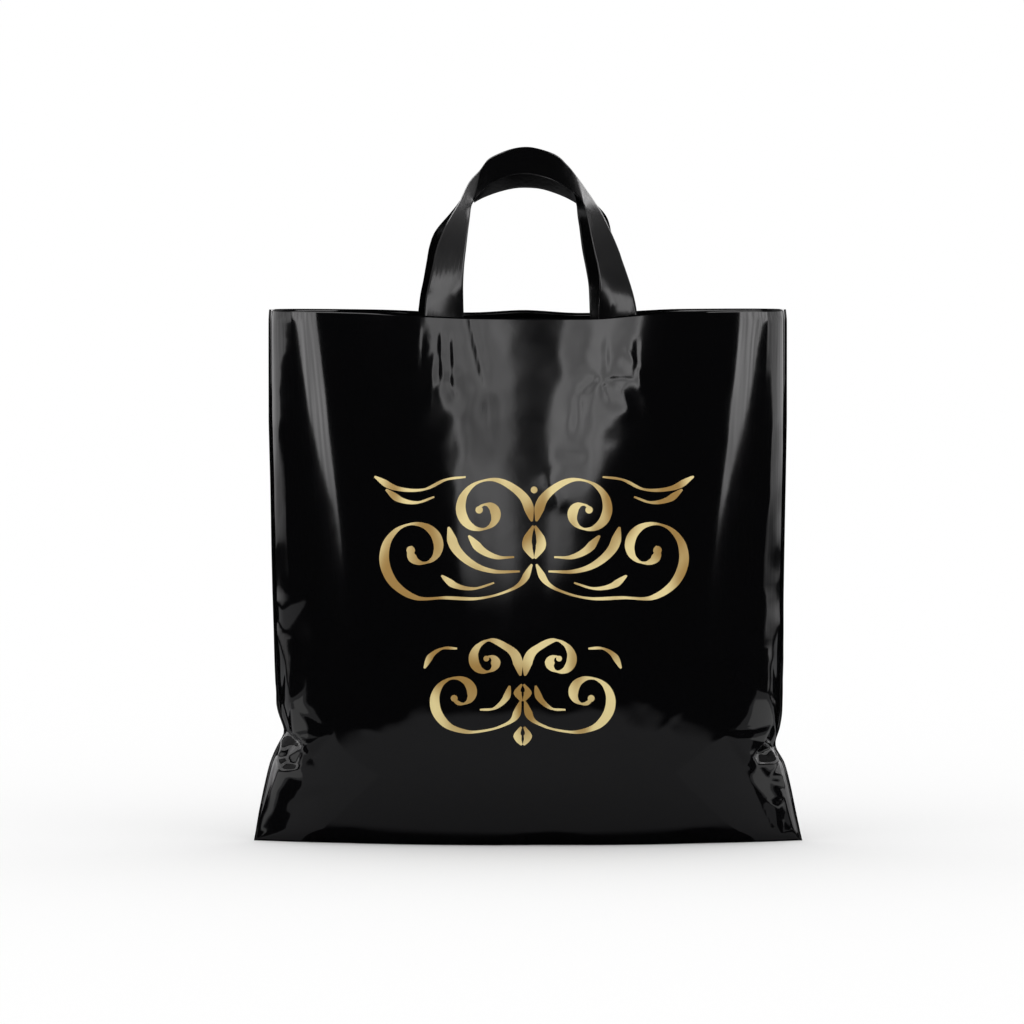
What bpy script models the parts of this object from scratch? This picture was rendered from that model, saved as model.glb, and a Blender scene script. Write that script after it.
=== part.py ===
import math
import bpy
from mathutils import Vector
from mathutils.bvhtree import BVHTree

for old in list(bpy.data.objects):
    bpy.data.objects.remove(old, do_unlink=True)

# Driving dimensions, in metres. X runs along the width, the front is at -Y.
MM = 0.001
MOUTH_Z = 376 * MM
BOTTOM_HALF = 193.9 * MM
WAIST_HALF = 179.0 * MM
MOUTH_HALF = 182.9 * MM
LEFT_PINCH_HALF = 172.2 * MM
RIGHT_PINCH_HALF = 174.5 * MM
LEFT_PINCH_Z = 78.5 * MM
RIGHT_PINCH_Z = 70.0 * MM
PINCH_RUN = 20 * MM
BELLY_DEPTH = 65 * MM
BELLY_RISE = 16 * MM
RIM_SAG = 5 * MM
GUSSET_HALF = 76 * MM
WALL = 1.0 * MM
SEAM_WIDTH = 4.0 * MM
SEAM_HALF = 0.6 * MM
STRIP_WIDTH = 27.5 * MM
STRIP_THICK = 0.8 * MM
LAY_GAP = 0.3 * MM
TAIL_LENGTH = 49 * MM
LEG_HALF = 61 * MM
LOOP_RISE = 105 * MM
FRONT_SHIFT = 1.9 * MM
BACK_SHIFT = -3.6 * MM
CUT_PAST = 8 * MM

# Side seam below the pinch: share of the pinch's height, share of the way in from the corner.
SEAM_BELOW_SHARES = [(0, 0), (0.1, 0.07), (0.27, 0.18), (0.5, 0.36), (0.66, 0.5), (0.76, 0.6),
                     (0.84, 0.74), (0.9, 0.86), (0.95, 0.96), (1, 1)]
# Side seam above the pinch: share of the pinch's run, share of the way out to the waist.
SEAM_ABOVE_SHARES = [(0, 0), (0.25, 0.28), (0.5, 0.6), (0.75, 0.8), (1, 0.94), (1.4, 1)]
# Waist to mouth: share of the mouth's height, share of the way from waist to mouth width.
SEAM_UPPER_SHARES = [(0.28, 0), (0.5, 0.45), (0.66, 0.75), (0.79, 1), (1, 1)]
# Opened depth and the section's blunt and square ends, by share of the mouth's height.
DEPTH_SHARES = [(0, 0.71), (0.053, 0.79), (0.133, 0.91), (0.2, 0.975), (0.28, 1), (0.45, 0.955),
                (0.665, 0.877), (0.88, 0.77), (1, 0.70)]
BLUNT_POWERS = [(0, 1.0), (0.053, 0.86), (0.133, 0.66), (0.2, 0.52), (0.28, 0.5), (0.665, 0.46),
                (1, 0.42)]
SQUARE_POWERS = [(0, 2.3), (0.2, 2.4), (0.665, 2.6), (1, 2.8)]
# Sag of the mouth's edge on each panel: share of the half width, share of the sag.
SAG_SHARES = {-1: [(-1, 0.1), (-0.77, 0.08), (-0.61, 0.2), (-0.45, 0.56), (-0.25, 0.92), (0, 1),
                   (0.27, 1), (0.45, 0.4), (0.585, 0.12), (0.74, 0), (1, 0.08)],
              1: [(-1, 0.1), (-0.55, 0.4), (-0.33, 0.8), (-0.19, 0.84), (0, 0.4), (0.18, 0.94),
                  (0.33, 0.8), (0.55, 0.3), (1, 0.08)]}

# Rows of the loft: share of the pinch's height, then share of the way on to the mouth.
ROW_SHARES_BELOW = (0, 0.1, 0.27, 0.5, 0.66, 0.76, 0.84, 0.92)
ROW_SHARES_ABOVE = (0, 0.025, 0.05, 0.09, 0.18, 0.3, 0.45, 0.6, 0.74, 0.86, 0.94, 1)
SPREAD_ANGLES = (-90, -84, -76, -67, -57, -47, -37, -28, -20, -12, -5, 3, 10, 18, 26, 35, 45, 56,
                 66, 76, 84, 90)


def ease(low, high, value):
    t = min(max((value - low) / (high - low), 0.0), 1.0)
    return t * t * (3 - 2 * t)


def table(rows, value):
    if value <= rows[0][0]:
        return rows[0][1]
    for (low, first), (high, second) in zip(rows, rows[1:]):
        if value <= high:
            return first + (second - first) * (value - low) / (high - low)
    return rows[-1][1]


def pinch_of(side):
    # Half width and height of the left (-1) or right (1) pinch.
    if side < 0:
        return LEFT_PINCH_HALF, LEFT_PINCH_Z
    return RIGHT_PINCH_HALF, RIGHT_PINCH_Z


def seam(side, z):
    # Distance of the left (-1) or right (1) seam's outer edge from the middle.
    half, pinch = pinch_of(side)
    if z <= pinch:
        return BOTTOM_HALF + (half - BOTTOM_HALF) * table(SEAM_BELOW_SHARES, z / pinch)
    out = table(SEAM_ABOVE_SHARES, (z - pinch) / PINCH_RUN)
    waist = WAIST_HALF + (MOUTH_HALF - WAIST_HALF) * table(SEAM_UPPER_SHARES, z / MOUTH_Z)
    return half + (waist - half) * out


def film(s, level, side, inset, lift=0.0):
    # Point of the front (-1) or back (1) panel; s runs from the left seam, -1, to the right, 1.
    left, right = -seam(-1, level), seam(1, level)
    x = (left + right) / 2 + ((right - left) / 2 - SEAM_WIDTH - inset) * s
    share = level / MOUTH_Z
    # The belly sits higher in the middle of the panel than beside the seams.
    belly = BELLY_RISE / MOUTH_Z * (1 - s * s) * ease(0.08, 0.24, share) * ease(0.69, 0.35, share)
    depth = BELLY_DEPTH * table(DEPTH_SHARES, share - belly) - inset
    y = depth * max(1 - abs(s) ** table(SQUARE_POWERS, share), 0.0) ** table(BLUNT_POWERS, share)
    sag = RIM_SAG * table(SAG_SHARES[side], x / MOUTH_HALF) * max(share - 0.8, 0.0) / 0.2
    return (x, side * y, level - sag + lift)


def link(name, points, faces, collection):
    mesh = bpy.data.meshes.new(name)
    mesh.from_pydata(points, [], faces)
    mesh.validate()
    mesh.update()
    piece = bpy.data.objects.new(name, mesh)
    collection.objects.link(piece)
    return piece


def loft(name, loops, collection, fold=None):
    # With a fold, the last loop is closed by rungs between points i and fold - i.
    count = len(loops[0])
    points = [p for loop in loops for p in loop]
    faces = [tuple(range(count))[::-1]]
    for row in range(len(loops) - 1):
        for i in range(count):
            j = (i + 1) % count
            a = row * count
            b = a + count
            faces.append((a + i, a + j, b + j))
            faces.append((a + i, b + j, b + i))
    last = (len(loops) - 1) * count
    if fold is None:
        faces.append(tuple(range(last, last + count)))
        return link(name, points, faces, collection)
    for i in range(fold // 2):
        j = (fold - i) % count
        k = (fold - i - 1) % count
        if j != i:
            faces.append((last + i, last + i + 1, last + j))
        if k != i + 1:
            faces.append((last + i + 1, last + k, last + j))
    return link(name, points, faces, collection)


bag = bpy.data.collections.new("carrier_bag")
cutters = bpy.data.collections.new("cutters")
bpy.context.scene.collection.children.link(bag)
bpy.context.scene.collection.children.link(cutters)

# Bag body: outside of the blown tube with its two flat side seams.
pinch_mean = (LEFT_PINCH_Z + RIGHT_PINCH_Z) / 2
levels = [share * pinch_mean for share in ROW_SHARES_BELOW]
levels += [pinch_mean + share * (MOUTH_Z - pinch_mean) for share in ROW_SHARES_ABOVE]
parameters = [math.sin(math.radians(a)) for a in SPREAD_ANGLES]
outside = []
for level in levels:
    front = [film(s, level, -1, 0) for s in parameters]
    back = [film(s, level, 1, 0) for s in reversed(parameters)]
    front = [(x, y - SEAM_HALF, z) for x, y, z in front]
    back = [(x, y + SEAM_HALF, z) for x, y, z in back]
    left_x, right_x = -seam(-1, level), seam(1, level)
    loop = [(left_x, -SEAM_HALF, front[0][2])]
    loop += front
    loop += [(right_x, -SEAM_HALF, front[-1][2]), (right_x, SEAM_HALF, front[-1][2])]
    loop += back
    loop += [(left_x, SEAM_HALF, front[0][2])]
    outside.append(loop)
body = loft("bag_body", outside, bag, len(outside[0]) - 1)

# Inside of the bag, from the film floor up through the open mouth.
inner = [math.sin(math.radians(a)) for a in SPREAD_ANGLES[1:-1]]
panel_inset = WALL - SEAM_HALF / 3
inside = []
for level, lift in [(WALL, 0.0)] + [(z, 0.0) for z in levels[1:]] + [(MOUTH_Z, CUT_PAST)]:
    front = [film(s, level, -1, panel_inset, lift) for s in inner]
    back = [film(s, level, 1, panel_inset, lift) for s in reversed(inner)]
    left = film(-1, level, -1, WALL, lift)
    right = film(1, level, -1, WALL, lift)
    inside.append([left] + front + [right] + back)
cavity = loft("cavity", inside, cutters, len(inside[0]))


def subtract(piece, cutter):
    tool = piece.modifiers.new("cut " + cutter.name, "BOOLEAN")
    tool.operation = "DIFFERENCE"
    tool.solver = "EXACT"
    tool.object = cutter


# Gusset film: flat on the floor in the middle, a ridge that climbs to the pinch at each end.
# Each end is cut out from below, after its thicker copy has been kept out of the cavity.
def gusset_end(name, sign, grow):
    half, pinch = pinch_of(sign)
    top = pinch - 3 * WALL
    apex = seam(sign, top) - SEAM_WIDTH - 1.5 * WALL
    start = half - GUSSET_HALF
    stations = [(start + (apex - start) * t, top * max(t, 0.003)) for t in (i / 7 for i in range(8))]
    for share in (0.85, 0.7, 0.5, 0.28, 0.1, 0.02):
        stations.append((seam(sign, top * share) - SEAM_WIDTH - 0.8 * WALL, top * share))
    floor = sorted(film(math.sin(math.radians(a)), 0.0, 1, 0)[:2] for a in range(-90, 91))
    sections = []
    for x, height in stations:
        width = max(table(floor, sign * x) + SEAM_HALF - WALL, WALL / 4)
        if grow:
            slope = math.hypot(width, height)
            width += min(grow * slope / height, 4 * grow)
            height += min(grow * slope / width, 12 * grow)
        foot = -WALL / 50
        sections.append([(sign * x, -width, -CUT_PAST / 2), (sign * x, width, -CUT_PAST / 2),
                         (sign * x, width, foot), (sign * x, 0.0, height), (sign * x, -width, foot)])
    return loft(name, sections[::sign], cutters)


for label, sign in (("left", -1), ("right", 1)):
    subtract(cavity, gusset_end("gusset_over_" + label, sign, WALL))
subtract(body, cavity)
for label, sign in (("left", -1), ("right", 1)):
    subtract(body, gusset_end("gusset_under_" + label, sign, 0.0))

# Handles: folded film strips, welded inside the panels, that rise and lean together. Stations
# run from the left leg over the arch: x as a share of the legs' half spacing, rise above the
# mouth as a share of the loop's, distance from the bag's middle as a share of the mouth's
# depth, the direction of the strip's outer edge, and how far the strip is turned side on.
FRONT_LOOP_SHARES = [(-0.997, 0.076, 0.94, 179, 15), (-0.98, 0.171, 0.9, 177, 28),
                     (-0.951, 0.295, 0.84, 175, 37), (-0.918, 0.41, 0.77, 173, 42),
                     (-0.861, 0.538, 0.69, 170, 53), (-0.807, 0.629, 0.63, 166, 63),
                     (-0.762, 0.7, 0.59, 160, 71), (-0.726, 0.752, 0.57, 142, 72),
                     (-0.68, 0.794, 0.57, 105, 60), (-0.623, 0.835, 0.58, 80, 42),
                     (-0.556, 0.883, 0.52, 85, 47), (-0.451, 0.938, 0.45, 95, 52),
                     (-0.244, 0.986, 0.4, 93, 50), (-0.057, 1.0, 0.38, 90, 48),
                     (0.116, 0.983, 0.4, 88, 48), (0.289, 0.947, 0.44, 86, 50),
                     (0.433, 0.886, 0.49, 96, 51), (0.546, 0.822, 0.54, 105, 48),
                     (0.613, 0.764, 0.55, 84, 67), (0.672, 0.71, 0.57, 30, 74),
                     (0.748, 0.61, 0.63, 20, 66), (0.859, 0.413, 0.76, 8, 53),
                     (0.908, 0.316, 0.82, 4, 49), (0.959, 0.195, 0.88, 2, 41),
                     (0.987, 0.081, 0.93, 0, 27)]
BACK_LOOP_SHARES = [(-0.977, 0.076, 0.94, 179, 14), (-0.957, 0.171, 0.9, 178, 25),
                    (-0.936, 0.292, 0.84, 176, 34), (-0.911, 0.4, 0.78, 174, 38),
                    (-0.866, 0.495, 0.71, 168, 46), (-0.757, 0.61, 0.64, 163, 62),
                    (-0.679, 0.69, 0.59, 158, 70), (-0.633, 0.738, 0.57, 140, 71),
                    (-0.59, 0.767, 0.57, 105, 60), (-0.534, 0.8, 0.58, 82, 45),
                    (-0.457, 0.824, 0.52, 88, 49), (-0.326, 0.854, 0.46, 95, 51),
                    (-0.154, 0.882, 0.41, 93, 50), (-0.007, 0.891, 0.39, 90, 50),
                    (0.174, 0.886, 0.4, 88, 50), (0.321, 0.865, 0.44, 87, 50),
                    (0.466, 0.83, 0.48, 92, 50), (0.57, 0.792, 0.54, 100, 49),
                    (0.636, 0.748, 0.56, 80, 64), (0.715, 0.686, 0.58, 34, 62),
                    (0.813, 0.581, 0.65, 8, 41), (0.866, 0.4, 0.77, 4, 36),
                    (0.925, 0.257, 0.85, 2, 30), (0.966, 0.162, 0.9, 1, 22),
                    (0.987, 0.076, 0.94, 0, 12)]
TAIL_SHARES = (0, 0.25, 0.5, 0.75, 0.9, 1)

inner_skin = BVHTree.FromPolygons([v.co for v in cavity.data.vertices],
                                  [tuple(f.vertices) for f in cavity.data.polygons])


def lay_on_panel(x, z, side):
    # Middle of a strip that lies on the inside of the panel, held off by the lay gap.
    hit = inner_skin.ray_cast(Vector((x, 0.0, z)), Vector((0.0, side, 0.0)))[0]
    return Vector((x, hit.y - side * (LAY_GAP + STRIP_THICK / 2), z))


def strip(name, loop, side, shift):
    mouth_depth = BELLY_DEPTH * table(DEPTH_SHARES, 1)
    arch = []
    for along, rise, depth, lean, turn in loop:
        middle = Vector((shift + along * LEG_HALF, side * depth * mouth_depth,
                         MOUTH_Z + rise * LOOP_RISE))
        lean, turn = math.radians(lean), math.radians(turn)
        outward = Vector((math.cos(lean) * math.cos(turn), -side * math.sin(turn),
                          math.sin(lean) * math.cos(turn))) * STRIP_WIDTH / 2
        arch.append((middle + outward, middle, middle - outward))
    tails = []
    for leg in (-1, 1):
        middle_x = shift + leg * LEG_HALF
        tail = []
        for step in TAIL_SHARES:
            z = MOUTH_Z - WALL - (TAIL_LENGTH - WALL) * (1 - step)
            tail.append(tuple(lay_on_panel(middle_x + leg * share * STRIP_WIDTH, z, side)
                              for share in (0.5, 0, -0.5)))
        tails.append(tail)
    rows = tails[0] + arch + tails[1][::-1]
    points = [p for row in rows for p in row]
    faces = [(a, a + 1, a + 4, a + 3) for row in range(len(rows) - 1) for a in (row * 3, row * 3 + 1)]
    piece = link(name, points, faces, bag)
    skin = piece.modifiers.new("film", "SOLIDIFY")
    skin.thickness = STRIP_THICK
    skin.offset = 0.0
    skin.use_even_offset = True
    return piece


front_handle = strip("front_handle", FRONT_LOOP_SHARES, -1, FRONT_SHIFT)
back_handle = strip("back_handle", BACK_LOOP_SHARES, 1, BACK_SHIFT)


def coat(piece, colour, roughness):
    material = bpy.data.materials.new(piece.name + "_film")
    material.use_nodes = True
    shader = material.node_tree.nodes["Principled BSDF"]
    shader.inputs["Base Color"].default_value = (*colour, 1.0)
    shader.inputs["Roughness"].default_value = roughness
    piece.data.materials.append(material)


coat(body, (0.008, 0.008, 0.009), 0.14)
coat(front_handle, (0.009, 0.009, 0.01), 0.16)
coat(back_handle, (0.009, 0.009, 0.01), 0.16)
cutters.hide_render = True
for piece in cutters.objects:
    piece.display_type = "WIRE"
    piece.hide_render = True
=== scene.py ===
import math
import bpy
import numpy as np
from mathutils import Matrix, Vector
from mathutils.bvhtree import BVHTree
from mathutils.geometry import delaunay_2d_cdt


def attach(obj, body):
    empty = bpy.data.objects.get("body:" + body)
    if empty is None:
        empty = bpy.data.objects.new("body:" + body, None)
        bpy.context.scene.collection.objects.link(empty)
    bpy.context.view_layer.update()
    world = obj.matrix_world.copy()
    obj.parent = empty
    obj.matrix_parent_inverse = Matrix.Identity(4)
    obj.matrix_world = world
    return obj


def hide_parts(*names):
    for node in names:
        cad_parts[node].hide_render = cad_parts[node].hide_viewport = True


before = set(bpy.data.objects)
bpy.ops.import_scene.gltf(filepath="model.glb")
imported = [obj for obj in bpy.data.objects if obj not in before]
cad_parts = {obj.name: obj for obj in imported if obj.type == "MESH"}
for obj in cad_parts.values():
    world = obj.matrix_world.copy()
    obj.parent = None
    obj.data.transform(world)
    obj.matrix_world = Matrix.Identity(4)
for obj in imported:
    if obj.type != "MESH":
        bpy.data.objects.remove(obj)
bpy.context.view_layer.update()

scene = bpy.context.scene
scene.view_settings.view_transform = "Standard"

# Studio: a far camera a few degrees above a white floor, as in a packshot. White light comes from
# all round, while the glossy film mirrors tall light cards and a grey table in a dark tent.
MM = 0.001
CAMERA_DISTANCE = 8.0
CAMERA_HEIGHT = 0.65
CAMERA_X = -0.0115
AIM_Z = 0.2325
LENS_MM = 399.0
TENT_RADIUS = 3.6
TENT_HEIGHT = 5.2
TENT_FLOOR_Z = 0.0004
TENT_SIDES = 48
TENT_BLACK = "#040404"
TABLE_GREY = "#9C9C9E"
TABLE_HALF = 0.7
TABLE_Z = 0.0008
CARD_DISTANCE = 3.0
CARD_STEPS = 8


def srgb(code):
    parts = [int(code[i:i + 2], 16) / 255 for i in (1, 3, 5)]
    return tuple(p / 12.92 if p <= 0.04045 else ((p + 0.055) / 1.055) ** 2.4 for p in parts) + (1.0,)


def add_node(owner, kind, settings=None, **inputs):
    tree = getattr(owner, "node_tree", owner)
    node = tree.nodes.new(kind)
    for name, value in (settings or {}).items():
        setattr(node, name, value)
    for name, value in inputs.items():
        key = int(name[1:]) if name[0] == "_" and name[1:].isdigit() else name.replace("_", " ")
        socket = node.inputs[key]
        if isinstance(value, bpy.types.NodeSocket):
            tree.links.new(value, socket)
        else:
            socket.default_value = value
    return node


def new_material(name):
    material = bpy.data.materials.new(name)
    material.use_nodes = True
    return material, material.node_tree.nodes["Principled BSDF"]


camera = bpy.data.objects.new("camera", bpy.data.cameras.new("camera"))
scene.collection.objects.link(camera)
camera.location = (CAMERA_X, -CAMERA_DISTANCE, CAMERA_HEIGHT)
aim = Vector((CAMERA_X, 0.0, AIM_Z)) - camera.location
camera.rotation_euler = aim.to_track_quat("-Z", "Y").to_euler()
camera.data.lens = LENS_MM
camera.data.sensor_width = 36.0
camera.data.clip_end = 200.0
scene.camera = camera

world = bpy.data.worlds.new("white_room")
world.use_nodes = True
world.node_tree.nodes["Background"].inputs["Color"].default_value = (1, 1, 1, 1)
world.node_tree.nodes["Background"].inputs["Strength"].default_value = 1.0
scene.world = world


def stage_plane(name, points, faces, colour, rough, camera_sees):
    mesh = bpy.data.meshes.new(name)
    mesh.from_pydata(points, [], faces)
    mesh.update()
    piece = bpy.data.objects.new(name, mesh)
    scene.collection.objects.link(piece)
    material, shader = new_material(name)
    shader.inputs["Base Color"].default_value = srgb(colour)
    shader.inputs["Roughness"].default_value = rough
    shader.inputs["Specular IOR Level"].default_value = 0.0
    mesh.materials.append(material)
    piece.visible_camera = camera_sees
    return piece


def square(half, z):
    return [(-half, -half, z), (half, -half, z), (half, half, z), (-half, half, z)]


stage_plane("floor", square(60.0, 0.0), [(0, 1, 2, 3)], "#FFFFFF", 0.9, True)


def only_mirrored(piece):
    piece.visible_diffuse = False
    piece.visible_shadow = False
    piece.visible_transmission = False


# The film mirrors a small grey table round the bag, and beyond it the tent's dark floor. The table fades
# out at an oval edge, and round the bag's foot its colour turns black, a painted shadow of the bag.
table = stage_plane("grey_table", square(TABLE_HALF, TABLE_Z), [(0, 1, 2, 3)], TABLE_GREY, 0.9, False)
only_mirrored(table)
table_paint = table.data.materials[0]
table_place = add_node(table_paint, "ShaderNodeTexCoord").outputs["Object"]


def oval_ramp(half_wide, half_deep, near, far, inside, outside):
    # From one value inside an oval to another outside it, between two shares of its size.
    shares = add_node(table_paint, "ShaderNodeMapping", Vector=table_place,
                      Scale=(1 / half_wide, 1 / half_deep, 0))
    reach = add_node(table_paint, "ShaderNodeVectorMath", {"operation": "LENGTH"},
                     _0=shares.outputs["Vector"])
    ramp = add_node(table_paint, "ShaderNodeMapRange", {"interpolation_type": "SMOOTHSTEP"},
                    Value=reach.outputs["Value"], From_Min=near, From_Max=far,
                    To_Min=inside, To_Max=outside)
    return ramp.outputs["Result"]


# Painted shadow: a small oval round the bag's foot darkens the table's colour to black, joined with the
# fade at the table's outer edge.
fade_and_painted_shadow = add_node(table_paint, "ShaderNodeMath", {"operation": "MAXIMUM"},
                      _0=oval_ramp(0.34, 0.48, 0.78, 1.08, 0.0, 1.0),
                      _1=oval_ramp(0.2, 0.05, 1.05, 1.3, 1.0, 0.0))
table_colour_and_painted_shadow = add_node(table_paint, "ShaderNodeMix", {"data_type": "RGBA"}, Factor=fade_and_painted_shadow.outputs["Value"],
                _6=srgb(TABLE_GREY), _7=srgb(TENT_BLACK))
table_shader = table_paint.node_tree.nodes["Principled BSDF"]
table_paint.node_tree.links.new(table_colour_and_painted_shadow.outputs[2], table_shader.inputs["Base Color"])

# The table's wings run far out to the left and the right, so the film's sides mirror grey. On
# them lie a white and a black sheet, which pick out the folds of the pinches and the ears.
TABLE_SHEETS = {"table_wings": ("#A6A6A8", 0.0012, [(0.16, -0.14), (1.7, -0.7), (1.7, 1.3), (0.16, 0.1)]),
                "white_sheet": ("#FFFFFF", 0.0016, [(0.37, -0.16), (0.8, -0.34), (0.8, 0.2), (0.34, 0.1)]),
                "black_sheet": ("#1C1C1C", 0.002, [(0.2, -0.03), (0.33, -0.11), (0.32, 0.09), (0.2, 0.03)])}
for name, (colour, height, outline) in TABLE_SHEETS.items():
    sheet_points = [(x, y, height) for x, y in outline] + [(-x, y, height) for x, y in outline]
    only_mirrored(stage_plane(name, sheet_points, [(0, 1, 2, 3), (7, 6, 5, 4)], colour, 0.9, False))

# The dark tent is a drum round everything, with a floor and a roof.
ring = [(TENT_RADIUS * math.cos(2 * math.pi * i / TENT_SIDES),
         TENT_RADIUS * math.sin(2 * math.pi * i / TENT_SIDES)) for i in range(TENT_SIDES)]
tent_points = [(x, y, TENT_FLOOR_Z) for x, y in ring] + [(x, y, TENT_HEIGHT) for x, y in ring]
tent_faces = [(i, (i + 1) % TENT_SIDES, (i + 1) % TENT_SIDES + TENT_SIDES, i + TENT_SIDES)
              for i in range(TENT_SIDES)]
tent_faces.append(tuple(range(TENT_SIDES, 2 * TENT_SIDES)))
tent_faces.append(tuple(range(TENT_SIDES)))
only_mirrored(stage_plane("dark_tent", tent_points, tent_faces, TENT_BLACK, 1.0, False))

# Each light card: how bright it is, the heights between which it fades in, then its left and
# right edge, in degrees from the camera's side, at a few heights in metres.
LIGHT_CARDS = {
    "near_left": (2.7, (0.3, 0.58), [(0.3, -7.0, -1.2), (0.42, -7.4, -0.6), (0.5, -7.4, -0.45),
                                     (0.7, -7.4, -0.4), (1.0, -8.0, -0.4)]),
    "near_right": (3.4, (0.33, 0.6), [(0.36, 1.4, 1.8), (0.44, 1.3, 2.6), (0.5, 1.3, 4.2),
                                      (0.58, 1.3, 6.2), (0.64, 1.3, 7.4), (0.7, 1.3, 9.5),
                                      (1.0, 1.3, 10)]),
    "front_left": (4.2, (0.06, 0.38), [(0.24, -41, -40), (0.29, -46.5, -40), (0.35, -52, -40),
                                       (0.42, -55, -40), (0.5, -62, -40.5), (0.56, -66, -41),
                                       (1.0, -66, -41)]),
    "front_right": (4.4, (0.06, 0.38), [(0.24, 40, 41), (0.32, 40.5, 46), (0.36, 41, 53), (0.42, 41, 59),
                                        (0.47, 42, 72), (1.0, 42, 72)]),
    "side_left": (1.9, (-0.06, 0.2), [(0.0, -140, -92), (0.08, -140, -93), (0.1, -140, -109),
                                      (0.23, -140, -97), (0.3, -140, -86), (0.37, -140, -76),
                                      (0.45, -140, -66), (1.0, -140, -66)]),
    "side_right": (1.9, (-0.06, 0.2), [(0.0, 84, 140), (0.1, 93, 140), (0.23, 89, 140), (0.3, 82, 140),
                                       (0.36, 72, 140), (1.0, 72, 140)]),
    "high_left": (3.8, (0.7, 1.2), [(0.88, -70, -12), (3.4, -70, -18)]),
    "high_right": (4.0, (0.7, 1.2), [(0.9, 26, 66), (3.4, 30, 66)]),
    "high_left_dim": (0.4, (0.9, 1.3), [(1.05, -150, -71), (3.4, -150, -71)]),
    "high_right_dim": (0.25, (0.9, 1.3), [(1.05, 67, 150), (3.4, 67, 150)]),
    "back_left": (2.6, (0.1, 0.5), [(0.2, -172, -150), (3.0, -172, -150)]),
    "back_right": (2.6, (0.1, 0.5), [(0.2, 150, 172), (3.0, 150, 172)]),
}
for name, (radiance, fade, rows) in LIGHT_CARDS.items():
    card_points = []
    for height, left, right in rows:
        for i in range(CARD_STEPS + 1):
            angle = math.radians(left + (right - left) * i / CARD_STEPS)
            card_points.append((CARD_DISTANCE * math.sin(angle), -CARD_DISTANCE * math.cos(angle), height))
    card_faces = []
    for row in range(len(rows) - 1):
        for i in range(CARD_STEPS):
            a = row * (CARD_STEPS + 1) + i
            card_faces.append((a, a + CARD_STEPS + 1, a + CARD_STEPS + 2, a + 1))
    card = stage_plane(name, card_points, card_faces, "#000000", 1.0, False)
    only_mirrored(card)
    paint = card.data.materials[0]
    glow = paint.node_tree.nodes["Principled BSDF"]
    glow.inputs["Emission Color"].default_value = (1.0, 0.99, 1.0, 1.0)
    card_place = add_node(paint, "ShaderNodeTexCoord").outputs["Object"]
    card_parts = add_node(paint, "ShaderNodeSeparateXYZ", Vector=card_place)
    level = add_node(paint, "ShaderNodeMapRange", {"interpolation_type": "SMOOTHSTEP"},
                     Value=card_parts.outputs["Z"], From_Min=fade[0], From_Max=fade[1],
                     To_Min=0.0, To_Max=radiance)
    # The cloth before a light glows unevenly.
    upright = add_node(paint, "ShaderNodeMapping", Vector=card_place, Scale=(9.0, 9.0, 5.0))
    cloth = add_node(paint, "ShaderNodeTexNoise", Vector=upright.outputs["Vector"], Scale=1.0, Detail=3.0)
    uneven = add_node(paint, "ShaderNodeMapRange", Value=cloth.outputs["Fac"], From_Min=0.32,
                      From_Max=0.66, To_Min=0.5, To_Max=1.15)
    glowing = add_node(paint, "ShaderNodeMath", {"operation": "MULTIPLY"},
                       _0=level.outputs["Result"], _1=uneven.outputs["Result"])
    paint.node_tree.links.new(glowing.outputs["Value"], glow.inputs["Emission Strength"])

# Bag body: one piece of blown polyethylene tube with its bottom tucked in and its sides heat
# welded. It is drawn as one film surface, front, gusset and back, which a Solidify thickens.
FILM_THICK = 0.25 * MM
SEAM_WIDTH = 1.6
SEAM_COLUMNS = 2
MOUTH_Z = 376.0
RIM_FROM = 300
TOE_TOP = 20.0
BELLY_SAG = 16
LEFT_PINCH_Z = 78.5
RIGHT_PINCH_Z = 70.0
FLOOR_CLEAR = 0.15
MIDDLE_CLEAR = 0.05
RIDGE_START = 96
RIDGE_END = 189.6

# Welded seams as height and x, half depth, and how blunt and square the section is, in mm.
LEFT_SEAM = [(0, -194), (7, -192.7), (20, -190.6), (37, -187), (49, -184.2), (56, -182.4),
             (62, -180), (67, -177.6), (71, -175.4), (75, -172.8), (79, -172.2), (84, -174),
             (90, -176.3), (97, -178), (128, -179.3), (180, -180.7), (213, -181.4),
             (250, -182.1), (297, -183.2), (370, -183.2), (376, -182.8)]
RIGHT_SEAM = [(0, 193.7), (7, 192.2), (20, 189.4), (37, 185.9), (49, 183.1), (56, 181),
              (62, 177.4), (66, 174.8), (71, 174.6), (75, 176), (79, 177.4), (84, 178.3),
              (90, 179.2), (97, 179.6), (128, 180.3), (170, 180.3), (213, 181),
              (250, 181.7), (297, 182.4), (370, 182.4), (376, 181.7)]
HALF_DEPTH = [(0, 45), (5, 48), (12, 50), (20, 52), (50, 59.5), (75, 63.8), (105, 65), (170, 62),
              (250, 57), (330, 50), (376, 45.5)]
BLUNT = [(0, 1.0), (20, 0.86), (50, 0.66), (75, 0.52), (105, 0.5), (250, 0.46), (376, 0.42)]
SQUARE = [(0, 2.3), (75, 2.4), (250, 2.6), (376, 2.8)]
RIM_FRONT = [(-183, 375.5), (-140, 375.6), (-112, 375), (-83, 373.2), (-46, 371.4), (0, 370.9),
             (50, 370.9), (82, 374), (107, 375.4), (135, 376), (183, 375.6)]
RIM_BACK = [(-183, 375.5), (-100, 374), (-60, 372), (-35, 371.8), (-3, 374), (33, 371.3),
            (60, 372), (100, 374.5), (183, 375.6)]


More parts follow.
